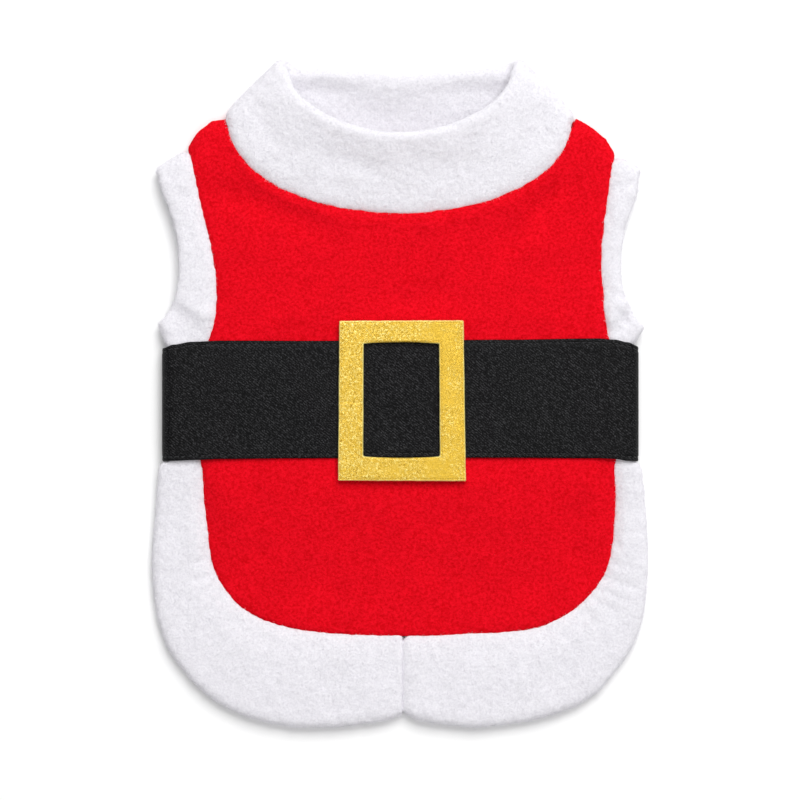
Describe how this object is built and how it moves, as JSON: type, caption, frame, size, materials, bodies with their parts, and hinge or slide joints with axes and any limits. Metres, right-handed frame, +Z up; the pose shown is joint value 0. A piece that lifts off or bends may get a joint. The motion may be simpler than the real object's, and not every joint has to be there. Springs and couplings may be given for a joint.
{
  "type": "dog santa suit",
  "caption": "Sleeveless pull-on fleece suit for a small dog, laid flat, with plush collar and trims, a belt and a buckle.",
  "frame": {"origin": "on the surface that the suit lies on, under the middle of its outline", "axes": "+X to the right of the laid-out back, +Y to the collar, +Z up from the surface"},
  "size_m": [0.2109, 0.2842, 0.017],
  "materials": {
    "red_fleece": "matt brushed fleece",
    "white_plush": "soft looped plush",
    "black_satin": "soft satin sheen",
    "gold_foil": "metallic foil on felt"
  },
  "bodies": {
    "root": {"back_panel": "red_fleece", "belly_panel": "red_fleece", "collar": "white_plush", "arm_trim_left": "white_plush", "arm_trim_right": "white_plush", "hem_trim_left": "white_plush", "hem_trim_right": "white_plush", "belt": "black_satin", "buckle": "gold_foil"}
  },
  "joints": []
}
